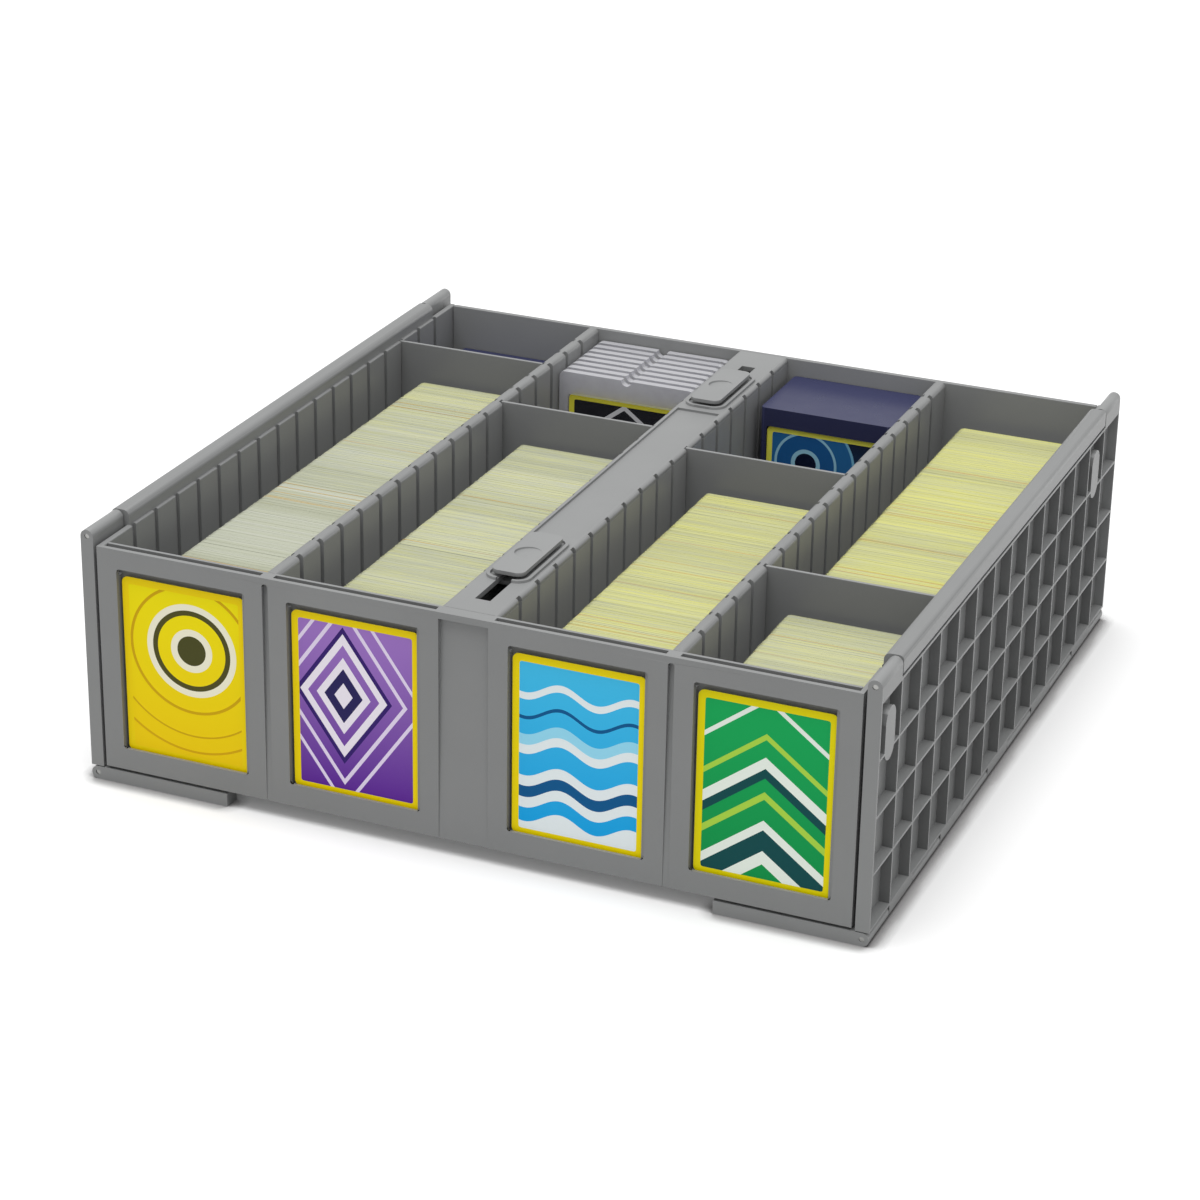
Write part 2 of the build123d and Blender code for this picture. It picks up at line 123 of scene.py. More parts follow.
polypropylene = {
    "dark": "#808181", "light": "#888989",  # slightly uneven grey of a filled plastic
    "roughness": 0.40, "polishSpread": 0.06,
    "ior": 1.49,
    "flowSize": 40.0,                       # mm, faint cloudiness from the melt's flow
    "grainSize": 0.7,                       # mm, spark-eroded grain, drawn coarse so that it shows
    "grainDepth": 0.012,                    # mm
    "grainStrength": 0.35,
    "endWall": 3.0,                         # mm, where the lid's pockets, and the painted shade on their flanks, begin at the front and the back
    "flankTurn": 0.7, "crownTurn": 0.5,     # how squarely a face looks along the rows, or up, to get painted shade
    "paintedShades": {                             # painted light and shade, matched to the photo: whole piece, rib flanks and up-facing faces
        "Tray": (1.0, 1.0, 1.0), "Wall": (1.20, 1.0, 0.76), "Rail": (1.14, 1.0, 0.815),
        "Lid": (1.06, 0.66, 1.0), "Latch": (1.05, 1.0, 1.0), "Divider": (1.03, 1.0, 1.0),
    },
}


def mouldedPolypropylene(name, tone, flankPaintedShade, crownPaintedShade):     # satin grey, soft wide highlights, faint grain; painted light and shade per piece, on rib flanks and on up-facing faces
    made, tree = blankMaterial(name)
    spot = addNode(tree, "ShaderNodeTexCoord").outputs["Object"]
    flow = addNode(tree, "ShaderNodeTexNoise", {
        "Vector": spot, "Scale": 1 / (polypropylene["flowSize"] * mm), "Detail": 3.0})
    grain = addNode(tree, "ShaderNodeTexNoise", {
        "Vector": spot, "Scale": 1 / (polypropylene["grainSize"] * mm), "Detail": 2.0})
    # tone is a painted brightening of the whole piece
    dark, light = [[c * tone for c in linear(polypropylene[key])[:3]] + [1.0] for key in ("dark", "light")]
    shade = addNode(tree, "ShaderNodeMix", {
        "Factor": flow.outputs["Fac"], "A": dark, "B": light}, data_type="RGBA")
    # painted shade on the flanks, which lie between the end walls and look along the rows, and on up-facing
    # faces
    place = addNode(tree, "ShaderNodeSeparateXYZ", {"Vector": spot}).outputs["Y"]
    facing = addNode(tree, "ShaderNodeNewGeometry").outputs["True Normal"]
    turned = addNode(tree, "ShaderNodeSeparateXYZ", {"Vector": facing}).outputs
    between = addNode(tree, "ShaderNodeMath", {
        0: place, 1: 0.0, 2: cadHigh.y - polypropylene["endWall"] * mm}, operation="COMPARE")
    across = addNode(tree, "ShaderNodeMath", {0: turned["Y"]}, operation="ABSOLUTE")
    across = addNode(tree, "ShaderNodeMath", {
        0: across.outputs[0], 1: polypropylene["flankTurn"]}, operation="GREATER_THAN")
    flankShadeMask = addNode(tree, "ShaderNodeMath", {
        0: between.outputs[0], 1: across.outputs[0]}, operation="MULTIPLY")
    topShadeMask = addNode(tree, "ShaderNodeMath", {
        0: turned["Z"], 1: polypropylene["crownTurn"]}, operation="GREATER_THAN")
    for share, level in ((flankShadeMask, flankPaintedShade), (topShadeMask, crownPaintedShade)):
        shade = addNode(tree, "ShaderNodeMix", {
            "Factor": share.outputs[0], "A": shade.outputs[2], "B": [level] * 3 + [1.0]},
            data_type="RGBA", blend_type="MULTIPLY")
    polish = addNode(tree, "ShaderNodeMapRange", {
        "Value": grain.outputs["Fac"],
        "To Min": polypropylene["roughness"] - polypropylene["polishSpread"],
        "To Max": polypropylene["roughness"] + polypropylene["polishSpread"]})
    relief = addNode(tree, "ShaderNodeBump", {
        "Height": grain.outputs["Fac"], "Strength": polypropylene["grainStrength"],
        "Distance": polypropylene["grainDepth"] * mm})
    shader = addNode(tree, "ShaderNodeBsdfPrincipled", {
        "Base Color": shade.outputs[2], "Roughness": polish.outputs["Result"],
        "Normal": relief.outputs["Normal"], "IOR": polypropylene["ior"]})
    addNode(tree, "ShaderNodeOutputMaterial", {"Surface": shader.outputs["BSDF"]})
    return made


hingePins = {
    "steel": "#a4a4a2",
    "roughness": (0.30, 0.45),
    "scratch": (0.4, 16.67, 0.4),           # mm, short across the pin and long along it, drawn coarse
}


def drawnSteel():                           # bright wire with fine scratches along its length
    made, tree = blankMaterial("drawnSteel")
    spot = addNode(tree, "ShaderNodeTexCoord").outputs["Object"]
    along = addNode(tree, "ShaderNodeMapping", {
        "Vector": spot, "Scale": [1 / (size * mm) for size in hingePins["scratch"]]})
    scratch = addNode(tree, "ShaderNodeTexNoise", {
        "Vector": along.outputs["Vector"], "Scale": 1.0, "Detail": 2.0})
    smooth, rough = hingePins["roughness"]
    polish = addNode(tree, "ShaderNodeMapRange", {
        "Value": scratch.outputs["Fac"], "To Min": smooth, "To Max": rough})
    shader = addNode(tree, "ShaderNodeBsdfPrincipled", {
        "Base Color": linear(hingePins["steel"]), "Metallic": 1.0, "Roughness": polish.outputs["Result"]})
    addNode(tree, "ShaderNodeOutputMaterial", {"Surface": shader.outputs["BSDF"]})
    return made


feet = {
    "rubber": ((0.3, "#262626"), (0.7, "#343434")),
    "speckle": 1.5,                         # mm, drawn coarse so that it shows
    "roughness": 0.75,
}


def mouldedRubber():                        # near-black, dull and finely speckled
    made, tree = blankMaterial("mouldedRubber")
    spot = addNode(tree, "ShaderNodeTexCoord").outputs["Object"]
    speckle = addNode(tree, "ShaderNodeTexNoise", {"Vector": spot, "Scale": 1 / (feet["speckle"] * mm)})
    shade = addNode(tree, "ShaderNodeValToRGB", {"Fac": speckle.outputs["Fac"]}, stops=feet["rubber"])
    shader = addNode(tree, "ShaderNodeBsdfPrincipled", {
        "Base Color": shade.outputs["Color"], "Roughness": feet["roughness"]})
    addNode(tree, "ShaderNodeOutputMaterial", {"Surface": shader.outputs["BSDF"]})
    return made


grey = {key: mouldedPolypropylene("mouldedPolypropylene" + key, *paintedShades)
        for key, paintedShades in polypropylene["paintedShades"].items()}


# Moulded pieces, straight from the frame with softened edges
edgeFinish = {"weld": 0.005, "segments": 2, "angle": 40.0}      # mm, count, degrees
edgeRadius = {                              # mm
    "front_frame": 0.5, "row_wall": 0.5, "spine_wall": 0.5, "side_wall": 0.5, "spine_cover": 0.4,
    "outer_panel": 0.35, "divider": 0.4, "latch": 0.5, "clip": 0.2,
    "floor": 0.3, "front_wall": 0.4, "back_wall": 0.6, "pin": 0.2, "foot": 0.3,
}
# lid, latch and divider take copies painted a little lighter, the lid with painted shade on its rib flanks;
# walls and rails take copies painted lighter still, with painted shade on their tops
slotMaterial = {"tray": grey["Tray"], "lid": grey["Lid"], "latch": grey["Latch"], "divider": grey["Divider"],
                "foot": mouldedRubber(), "hinge_pin": drawnSteel()}
wallMaterial = {"row_wall": grey["Wall"], "spine_wall": grey["Wall"], "back_wall": grey["Wall"],
                "side_wall": grey["Rail"]}


def softenEdges(piece, radius):
    weld = piece.modifiers.new("weld", "WELD")
    weld.merge_threshold = edgeFinish["weld"] * mm
    edge = piece.modifiers.new("edgeRadius", "BEVEL")
    edge.width = radius * mm
    edge.segments = edgeFinish["segments"]
    edge.limit_method = "ANGLE"
    edge.angle_limit = math.radians(edgeFinish["angle"])
    edge.harden_normals = True


def setMaterial(node, material):
    piece = frame["nodes"][node]
    piece.data.materials.clear()
    piece.data.materials.append(material)
    return piece


slots = {subpart["node"]: subpart["material_slot"] for subpart in frame["record"]["subparts"]}
for node, slot in slots.items():
    if slot not in slotMaterial:
        continue
    walls = [material for key, material in wallMaterial.items() if key in node]
    piece = setMaterial(node, walls[0] if walls else slotMaterial[slot])
    if "inner_panel" not in node:           # folded away, their cut edges stay crisp
        softenEdges(piece, next(radius for key, radius in edgeRadius.items() if key in node))
print("moulded pieces done")


def nodeBox(name):
    corners = [frame["nodes"][name].matrix_world @ Vector(c) for c in frame["nodes"][name].bound_box]
    low = Vector([min(c[i] for c in corners) for i in range(3)])
    high = Vector([max(c[i] for c in corners) for i in range(3)])
    return low, high


def addPiece(name, mesh, body):
    piece = bpy.data.objects.new(name, mesh)
    scene.collection.objects.link(piece)
    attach(piece, body)
    return piece


def cardOutline(width, height, corner, steps):      # rounded card, from its middle, in metres
    points = []
    for turn, (sx, sz) in enumerate(((1, 1), (-1, 1), (-1, -1), (1, -1))):
        for step in range(steps + 1):
            angle = math.radians(90 * (turn + step / steps))
            points.append((sx * (width / 2 - corner) + corner * math.cos(angle),
                           sz * (height / 2 - corner) + corner * math.sin(angle)))
    return points


# Stacks of cards, one thin sheet after another
cardStacks = {
    "cardStep": 0.6,                        # mm, two real cards, so that single edges show
    "sheetShare": 0.97,                     # of that step, so that a hair of gap is left
    "corner": 3.0, "cornerSteps": 3,        # mm
    "sideSlip": 0.35, "heightSlip": 0.05,   # mm, how far a card strays
    "standOut": 0.02,                       # share of the cards that stand a little higher, with a browner edge
    "standOutWarmth": 0.5,
    "sideShift": {                          # mm, how far each stack stands from the middle of its solid
        "row_2_cards": -1.8, "row_3_cards": -1.0, "row_4_cards": -1.6, "row_4_rear_cards": -1.2},
    "palette": {                            # yellow at the front and rear (below 0 stays pale longer), white
        "row_1_cards": (-0.30, 0.36, 0.65), "row_2_cards": (0.26, 0.26, 0.55),
        "row_3_cards": (0.55, 0.62, 0.60), "row_4_cards": (0.35, 0.35, 0.80),
        "row_4_rear_cards": (0.65, 0.65, 0.40),
    },
    "bandStart": 0.5, "bandDrift": 0.12,    # colour drifts in bands along the row
    "bandShare": 0.65,                      # of a card's tone, and the rest is its own
    "ownTone": (2.5, 2.0),                  # beta spread of that rest
    "ownLevel": 0.75, "whiteLift": 0.5,     # its level without white cards, and what white cards add
    "ownWarmth": 0.25, "bandWarmth": 0.3,   # how far yellow varies from card to card, and with the band
    "fade": (25.0, 1.2, 4.0),               # mm, how the yellow fades across, along and down the stack
    "yellowFrom": 0.55, "yellowFull": 1.3,
    "pale": ((0.0, "#979a85"), (0.2, "#9fa28d"), (0.5, "#a4a793"), (0.8, "#a9ac9b"), (1.0, "#b1b3a6")),
    "yellow": ((0.0, "#b8903c"), (0.06, "#b3b268"), (0.6, "#bdbd72"), (1.0, "#c4c268")),
    "roughness": 0.75,
}


def cutCardEdges():                         # uncoated board edge: cream, white and yellow lines, no gloss
    made, tree = blankMaterial("cutCardEdges")
    sheet = addNode(tree, "ShaderNodeAttribute", attribute_name="sheetTone").outputs["Fac"]
    warm = addNode(tree, "ShaderNodeAttribute", attribute_name="sheetWarmth").outputs["Fac"]
    spot = addNode(tree, "ShaderNodeTexCoord").outputs["Object"]
    streak = addNode(tree, "ShaderNodeMapping", {
        "Vector": spot, "Scale": [1 / (size * mm) for size in cardStacks["fade"]]})
    fade = addNode(tree, "ShaderNodeTexNoise", {
        "Vector": streak.outputs["Vector"], "Scale": 1.0, "Detail": 2.0})
    pale = addNode(tree, "ShaderNodeValToRGB", {"Fac": sheet}, stops=cardStacks["pale"])
    yellow = addNode(tree, "ShaderNodeValToRGB", {"Fac": sheet}, stops=cardStacks["yellow"])
    share = addNode(tree, "ShaderNodeMath", {0: warm, 1: fade.outputs["Fac"]}, operation="ADD")
    share = addNode(tree, "ShaderNodeMapRange", {
        "Value": share.outputs[0],
        "From Min": cardStacks["yellowFrom"], "From Max": cardStacks["yellowFull"]})
    shade = addNode(tree, "ShaderNodeMix", {
        "Factor": share.outputs["Result"], "A": pale.outputs["Color"], "B": yellow.outputs["Color"]},
        data_type="RGBA")
    shader = addNode(tree, "ShaderNodeBsdfPrincipled", {
        "Base Color": shade.outputs[2], "Roughness": cardStacks["roughness"]})
    addNode(tree, "ShaderNodeOutputMaterial", {"Surface": shader.outputs["BSDF"]})
    return made


cardEdges = cutCardEdges()


def clamp(value):
    return min(1.0, max(0.0, value))


def makeStack(node, yellowFront, yellowRear, whiteShare):
    dice = random.Random(node)
    low, high = nodeBox(node)
    step = cardStacks["cardStep"] * mm
    count = round((high.y - low.y) / step)
    middleX = (low.x + high.x) / 2 + cardStacks["sideShift"].get(node, 0.0) * mm
    middleZ = (low.z + high.z) / 2
    outline = cardOutline(high.x - low.x, high.z - low.z, cardStacks["corner"] * mm, cardStacks["cornerSteps"])
    ring = len(outline)
    verts, faces, tones, warmths = [], [], [], []
    band = cardStacks["bandStart"]
    ownLevel = cardStacks["ownLevel"] + cardStacks["whiteLift"] * whiteShare
    for index in range(count):
        slip = dice.gauss(0, cardStacks["sideSlip"] / 2) * mm
        drop = -abs(dice.gauss(0, cardStacks["heightSlip"])) * mm
        proud = dice.random() < cardStacks["standOut"]
        if proud:
            drop = 0.0
        front = low.y + index * step
        base = len(verts)
        for y in (front, front + step * cardStacks["sheetShare"]):
            verts += [(middleX + x + slip, y, middleZ + z + (drop if z > 0 else 0)) for x, z in outline]
        faces.append(range(base + ring - 1, base - 1, -1))
        faces.append(range(base + ring, base + 2 * ring))
        for i in range(ring):
            j = (i + 1) % ring
            faces.append((base + i, base + j, base + ring + j, base + ring + i))
        band = clamp(band + dice.gauss(0, cardStacks["bandDrift"]))
        ownTone = dice.betavariate(*cardStacks["ownTone"]) * ownLevel
        tone = clamp(cardStacks["bandShare"] * band + (1 - cardStacks["bandShare"]) * ownTone)
        warmth = yellowFront + (yellowRear - yellowFront) * index / count
        warmth *= 1 - cardStacks["ownWarmth"] * (1 - dice.random())
        warmth *= 1 + cardStacks["bandWarmth"] * (band - cardStacks["bandStart"])
        if proud:
            tone, warmth = 0.0, max(warmth, cardStacks["standOutWarmth"])
        tones += [tone] * (ring + 2)
        warmths += [warmth] * (ring + 2)
    mesh = bpy.data.meshes.new(node + "_sheets")
    mesh.from_pydata(verts, [], [list(f) for f in faces])
    for name, values in (("sheetTone", tones), ("sheetWarmth", warmths)):
        mesh.attributes.new(name, "FLOAT", "FACE").data.foreach_set("value", values)
    mesh.materials.append(cardEdges)
    piece = addPiece(node + "_sheets", mesh, node)
    piece.visible_diffuse = False           # the walls keep their neutral grey, with no glow from the cards
    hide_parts(node)
    return count


for node, shares in cardStacks["palette"].items():
    print("stack", node, makeStack(node, *shares), "sheets")


# Label cards behind the windows
labelCards = {                              # bands run outward from the shape's middle, as shares of its reach
    "border": 3.3,                          # mm of plain edge round the print
    "row_1_label_card": {
        "edge": "#ffe000", "top": "#fff000", "bottom": "#ffd800",
        "shape": "rings", "reach": 72.0, "middle": (3.5, 13.0),
        "bands": ((0.0, "#4a4a1c"), (0.10, "#fffbe0"), (0.145, "#ffe60000"), (0.24, "#4f4d1c"),
                  (0.275, "#fffbe0"), (0.32, "#ffe60000"), (0.42, "#d9ae00"), (0.44, "#ffe60000"),
                  (0.59, "#d9ae00"), (0.605, "#ffe60000"), (0.70, "#e0b000"), (0.715, "#ffe60000"))},
    "row_2_label_card": {
        "edge": "#ffe200", "top": "#aa7fd0", "bottom": "#5c1c98",
        "shape": "diamonds", "reach": 78.0, "middle": (-6.0, 6.0),
        "bands": ((0.0, "#fbf4ff"), (0.08, "#241c58"), (0.17, "#fbf4ff"), (0.24, "#7440a400"),
                  (0.32, "#fbf4ff"), (0.39, "#34186e"), (0.43, "#7440a400"), (0.53, "#f0e2fc"),
                  (0.57, "#7440a400"), (0.69, "#f0e2fc"), (0.725, "#7440a400"))},
    "row_3_label_card": {
        "edge": "#ffe600", "top": "#48ccfa", "bottom": "#00a8f0",
        "shape": "waves", "reach": 88.0, "middle": (0.0, -44.0),
        "bands": ((0.0, "#f4fdff"), (0.11, "#00a4ea00"), (0.19, "#f4fdff"), (0.25, "#005a92"),
                  (0.31, "#f4fdff"), (0.37, "#00a4ea00"), (0.49, "#f4fdff"), (0.54, "#9fe6ff"),
                  (0.60, "#00a4ea00"), (0.68, "#005a92"), (0.70, "#00a4ea00"), (0.79, "#f4fdff"),
                  (0.83, "#00a4ea00"))},
    "row_4_label_card": {
        "edge": "#f4e400", "top": "#12b05c", "bottom": "#00964a",
        "shape": "chevrons", "reach": 92.0, "middle": (0.0, -44.0),
        "bands": ((0.0, "#00964a00"), (0.11, "#f6fff4"), (0.18, "#004a4c"), (0.29, "#f6fff4"),
                  (0.34, "#00964a00"), (0.45, "#b4e04c"), (0.49, "#00964a00"), (0.56, "#004a4c"),
                  (0.61, "#f6fff4"), (0.67, "#00964a00"), (0.76, "#b4e04c"), (0.79, "#00964a00"),
                  (0.95, "#f6fff4"), (0.98, "#00964a00"))},
}
cardPrint = {
    "cornerBlend": 2.0,                     # mm, rounds the corners of the plain edge
    "diamondSlope": 1.4, "chevronSlope": 0.75,
    "waveLength": 34.0, "waveHeight": 3.2,  # mm
    "fibre": 1.2,                           # mm, drawn coarse so that it shows
    "roughness": (0.32, 0.46),
    "specular": 0.15,                       # low, so that the print isn't veiled
}


def cardInset(tree, axes, width, height):   # how far inside a card's outline a point lies
    across = addNode(tree, "ShaderNodeMath", {0: axes["X"]}, operation="ABSOLUTE").outputs[0]
    along = addNode(tree, "ShaderNodeMath", {0: axes["Z"]}, operation="ABSOLUTE").outputs[0]
    sideGap = addNode(tree, "ShaderNodeMath", {0: width / 2 * mm, 1: across}, operation="SUBTRACT")
    endGap = addNode(tree, "ShaderNodeMath", {0: height / 2 * mm, 1: along}, operation="SUBTRACT")
    return addNode(tree, "ShaderNodeMath", {
        0: sideGap.outputs[0], 1: endGap.outputs[0], 2: cardPrint["cornerBlend"] * mm},
        operation="SMOOTH_MIN").outputs[0]


def bandPlace(tree, local, design):         # distance in metres that the printed bands follow
    x, z = design["middle"]
    moved = addNode(tree, "ShaderNodeVectorMath", {0: local, 1: (x * mm, 0.0, z * mm)}, operation="SUBTRACT")
    axes = addNode(tree, "ShaderNodeSeparateXYZ", {"Vector": moved.outputs["Vector"]}).outputs
    if design["shape"] == "rings":
        flat = addNode(tree, "ShaderNodeCombineXYZ", {"X": axes["X"], "Z": axes["Z"]}).outputs["Vector"]
        return addNode(tree, "ShaderNodeVectorMath", {0: flat}, operation="LENGTH").outputs["Value"]
    if design["shape"] == "waves":
        turn = addNode(tree, "ShaderNodeMath", {
            0: axes["X"], 1: 2 * math.pi / (cardPrint["waveLength"] * mm)}, operation="MULTIPLY")
        across = addNode(tree, "ShaderNodeMath", {0: turn.outputs[0]}, operation="SINE")
        slope = cardPrint["waveHeight"] * mm
    else:
        across = addNode(tree, "ShaderNodeMath", {0: axes["X"]}, operation="ABSOLUTE")
        slope = cardPrint["chevronSlope"]
    along = axes["Z"]
    if design["shape"] == "diamonds":
        along = addNode(tree, "ShaderNodeMath", {0: along}, operation="ABSOLUTE").outputs[0]
        slope = cardPrint["diamondSlope"]
    return addNode(tree, "ShaderNodeMath", {
        0: across.outputs[0], 1: slope, 2: along}, operation="MULTIPLY_ADD").outputs[0]


def printedCard(name, design, middle, width, height, border):  # offset print under satin varnish
    made, tree = blankMaterial(name)
    spot = addNode(tree, "ShaderNodeTexCoord").outputs["Object"]
    local = addNode(tree, "ShaderNodeVectorMath", {0: spot, 1: middle}, operation="SUBTRACT").outputs["Vector"]
    axes = addNode(tree, "ShaderNodeSeparateXYZ", {"Vector": local}).outputs
    rise = addNode(tree, "ShaderNodeMapRange", {
        "Value": axes["Z"], "From Min": -height / 2 * mm, "From Max": height / 2 * mm})
    ground = addNode(tree, "ShaderNodeMix", {
        "Factor": rise.outputs["Result"], "A": linear(design["bottom"]), "B": linear(design["top"])},
        data_type="RGBA")
    place = addNode(tree, "ShaderNodeMath", {
        0: bandPlace(tree, local, design), 1: design["reach"] * mm}, operation="DIVIDE")
    bands = addNode(tree, "ShaderNodeValToRGB", {"Fac": place.outputs[0]},
                    stops=design["bands"], blend="CONSTANT")
    picture = addNode(tree, "ShaderNodeMix", {
        "Factor": bands.outputs["Alpha"], "A": ground.outputs[2], "B": bands.outputs["Color"]},
        data_type="RGBA")
    inside = addNode(tree, "ShaderNodeMath", {
        0: cardInset(tree, axes, width, height), 1: border * mm}, operation="GREATER_THAN")
    shade = addNode(tree, "ShaderNodeMix", {
        "Factor": inside.outputs[0], "A": linear(design["edge"]), "B": picture.outputs[2]}, data_type="RGBA")
    fibre = addNode(tree, "ShaderNodeTexNoise", {
        "Vector": spot, "Scale": 1 / (cardPrint["fibre"] * mm), "Detail": 2.0})
    smooth, rough = cardPrint["roughness"]
    polish = addNode(tree, "ShaderNodeMapRange", {
        "Value": fibre.outputs["Fac"], "To Min": smooth, "To Max": rough})
    shader = addNode(tree, "ShaderNodeBsdfPrincipled", {
        "Base Color": shade.outputs[2], "Roughness": polish.outputs["Result"],
        "Specular IOR Level": cardPrint["specular"]})
    addNode(tree, "ShaderNodeOutputMaterial", {"Surface": shader.outputs["BSDF"]})
    return made


for node in slots:
    if node in labelCards:
        low, high = nodeBox(node)
        setMaterial(node, printedCard(
            "offsetPrintedCard_" + node, labelCards[node], (low + high) / 2,
            (high.x - low.x) / mm, (high.z - low.z) / mm, labelCards["border"]))
print("label cards done")


# Card holders and boxed decks
heldCards = {                               # mm
    "width": 63.0, "height": 88.0, "thickness": 0.4,
    "corner": 3.0, "cornerSteps": 5,
    "border": 3.0,
    "squareOn": 0.9,                        # how squarely a face looks along the row to be a window
}
holders = {
    "cardLift": 1.7, "cardShift": -1.6,     # mm, from the bottom and from the middle of the holder
    "edgeRadius": 0.3,                      # mm
    "windowDepth": 1000.0,                  # mm, past them all, so both faces of each holder are clear
    "clearCloud": 0.02, "rimCloud": 0.55,   # share of light scattered over the card, and beside it
    "cloudSpread": 0.1, "scuff": 9.0,       # the rim's unevenness, and its size in mm
    "edge": "#a6a6aa", "face": "#d6d6dc", "clear": "#fcfcfd",
    "edgeTurn": (0.3, 0.7),                 # how far up a face looks where the edge's colour begins and is full
    "roughness": 0.2, "ior": 1.53,
    "print": {
        "edge": "#fff648", "top": "#17171c", "bottom": "#3a3c4a",
        "shape": "chevrons", "reach": 92.0, "middle": (0.0, -44.0),
        "bands": ((0.0, "#17171c00"), (0.30, "#8d93a8"), (0.36, "#17171c00"), (0.62, "#5f6678"),
                  (0.68, "#17171c00"), (0.90, "#e8e8ea"), (0.93, "#17171c00"))},
}
deckBoxes = {
    "wall": 1.2, "cardLift": 1.2,           # mm
    "edgeRadius": 0.8,                      # mm
    "windowDepth": 0.0,                     # mm, so only the wall before the first card is clear
    "tint": "#2e3152", "clear": "#ffffff", "seeThrough": 0.96,
    "mottle": 12.0,                         # mm
    "roughness": (0.22, 0.38), "ior": 1.49,
    "print": {
        "edge": "#fffa60", "top": "#1b2034", "bottom": "#2a6ea8",
        "shape": "rings", "reach": 70.0, "middle": (-10.0, 26.0),
        "bands": ((0.0, "#0e1730"), (0.08, "#9fd4ea"), (0.11, "#1f5f9c"), (0.22, "#9fd4ea"),
                  (0.24, "#2a6ea8"), (0.36, "#7fc0e0"), (0.38, "#1b203400"))},
}


def windowOverCard(tree, middle, depth):    # 1 where an upright face lies over the held card, up to a depth
    spot = addNode(tree, "ShaderNodeTexCoord").outputs["Object"]
    local = addNode(tree, "ShaderNodeVectorMath", {0: spot, 1: middle}, operation="SUBTRACT").outputs["Vector"]
    axes = addNode(tree, "ShaderNodeSeparateXYZ", {"Vector": local}).outputs
    inset = cardInset(tree, axes, heldCards["width"], heldCards["height"])
    over = addNode(tree, "ShaderNodeMath", {0: inset, 1: 0.0}, operation="GREATER_THAN")
    facing = addNode(tree, "ShaderNodeNewGeometry").outputs["True Normal"]
    turned = addNode(tree, "ShaderNodeSeparateXYZ", {"Vector": facing}).outputs["Y"]
    square = addNode(tree, "ShaderNodeMath", {0: turned}, operation="ABSOLUTE")
    upright = addNode(tree, "ShaderNodeMath", {
        0: square.outputs[0], 1: heldCards["squareOn"]}, operation="GREATER_THAN")
    near = addNode(tree, "ShaderNodeMath", {0: axes["Y"], 1: depth * mm}, operation="LESS_THAN")
    shown = addNode(tree, "ShaderNodeMath", {0: upright.outputs[0], 1: near.outputs[0]}, operation="MULTIPLY")
    return addNode(tree, "ShaderNodeMath", {
        0: over.outputs[0], 1: shown.outputs[0]}, operation="MULTIPLY").outputs[0]


def rigidVinyl(middle):                     # pressed clear sheet: clear over the card, milky at rim and edges
    made, tree = blankMaterial("pressedRigidVinyl")
    window = windowOverCard(tree, middle, holders["windowDepth"])
    facing = addNode(tree, "ShaderNodeNewGeometry").outputs["True Normal"]
    begins, full = holders["edgeTurn"]
    edge = addNode(tree, "ShaderNodeMapRange", {
        "Value": addNode(tree, "ShaderNodeSeparateXYZ", {"Vector": facing}).outputs["Z"],
        "From Min": begins, "From Max": full})
    spot = addNode(tree, "ShaderNodeTexCoord").outputs["Object"]
    scuff = addNode(tree, "ShaderNodeTexNoise", {
        "Vector": spot, "Scale": 1 / (holders["scuff"] * mm), "Detail": 3.0})
    milky = addNode(tree, "ShaderNodeMapRange", {
        "Value": scuff.outputs["Fac"],
        "To Min": holders["rimCloud"] - holders["cloudSpread"],
        "To Max": holders["rimCloud"] + holders["cloudSpread"]})
    cloud = addNode(tree, "ShaderNodeMix", {
        "Factor": window, "A": milky.outputs["Result"], "B": holders["clearCloud"]})
    cloud = addNode(tree, "ShaderNodeMath", {
        0: cloud.outputs[0], 1: edge.outputs["Result"]}, operation="MAXIMUM")
    shade = addNode(tree, "ShaderNodeMix", {
        "Factor": edge.outputs["Result"], "A": linear(holders["face"]), "B": linear(holders["edge"])},
        data_type="RGBA")
    body = addNode(tree, "ShaderNodeBsdfPrincipled", {
        "Base Color": shade.outputs[2], "Roughness": holders["roughness"], "IOR": holders["ior"]})
    clear = addNode(tree, "ShaderNodeBsdfTransparent", {"Color": linear(holders["clear"])})
    mixed = addNode(tree, "ShaderNodeMixShader", {
        "Fac": cloud.outputs[0], 1: clear.outputs["BSDF"], 2: body.outputs["BSDF"]})
    addNode(tree, "ShaderNodeOutputMaterial", {"Surface": mixed.outputs["Shader"]})
    return made


def tintedPolypropylene(name, middle, seeThrough):      # folded blue-grey sheet, glossy, clear before the card
    made, tree = blankMaterial(name)
    window = windowOverCard(tree, middle, deckBoxes["windowDepth"])
    spot = addNode(tree, "ShaderNodeTexCoord").outputs["Object"]
    mottle = addNode(tree, "ShaderNodeTexNoise", {
        "Vector": spot, "Scale": 1 / (deckBoxes["mottle"] * mm), "Detail": 2.0})
    smooth, rough = deckBoxes["roughness"]
    polish = addNode(tree, "ShaderNodeMapRange", {
        "Value": mottle.outputs["Fac"], "To Min": smooth, "To Max": rough})
    body = addNode(tree, "ShaderNodeBsdfPrincipled", {
        "Base Color": linear(deckBoxes["tint"]), "Roughness": polish.outputs["Result"],
        "IOR": deckBoxes["ior"]})
    clear = addNode(tree, "ShaderNodeBsdfTransparent", {"Color": linear(deckBoxes["clear"])})
    share = addNode(tree, "ShaderNodeMath", {0: window, 1: seeThrough}, operation="MULTIPLY")
    mixed = addNode(tree, "ShaderNodeMixShader", {
        "Fac": share.outputs[0], 1: body.outputs["BSDF"], 2: clear.outputs["BSDF"]})
    addNode(tree, "ShaderNodeOutputMaterial", {"Surface": mixed.outputs["Shader"]})
    return made


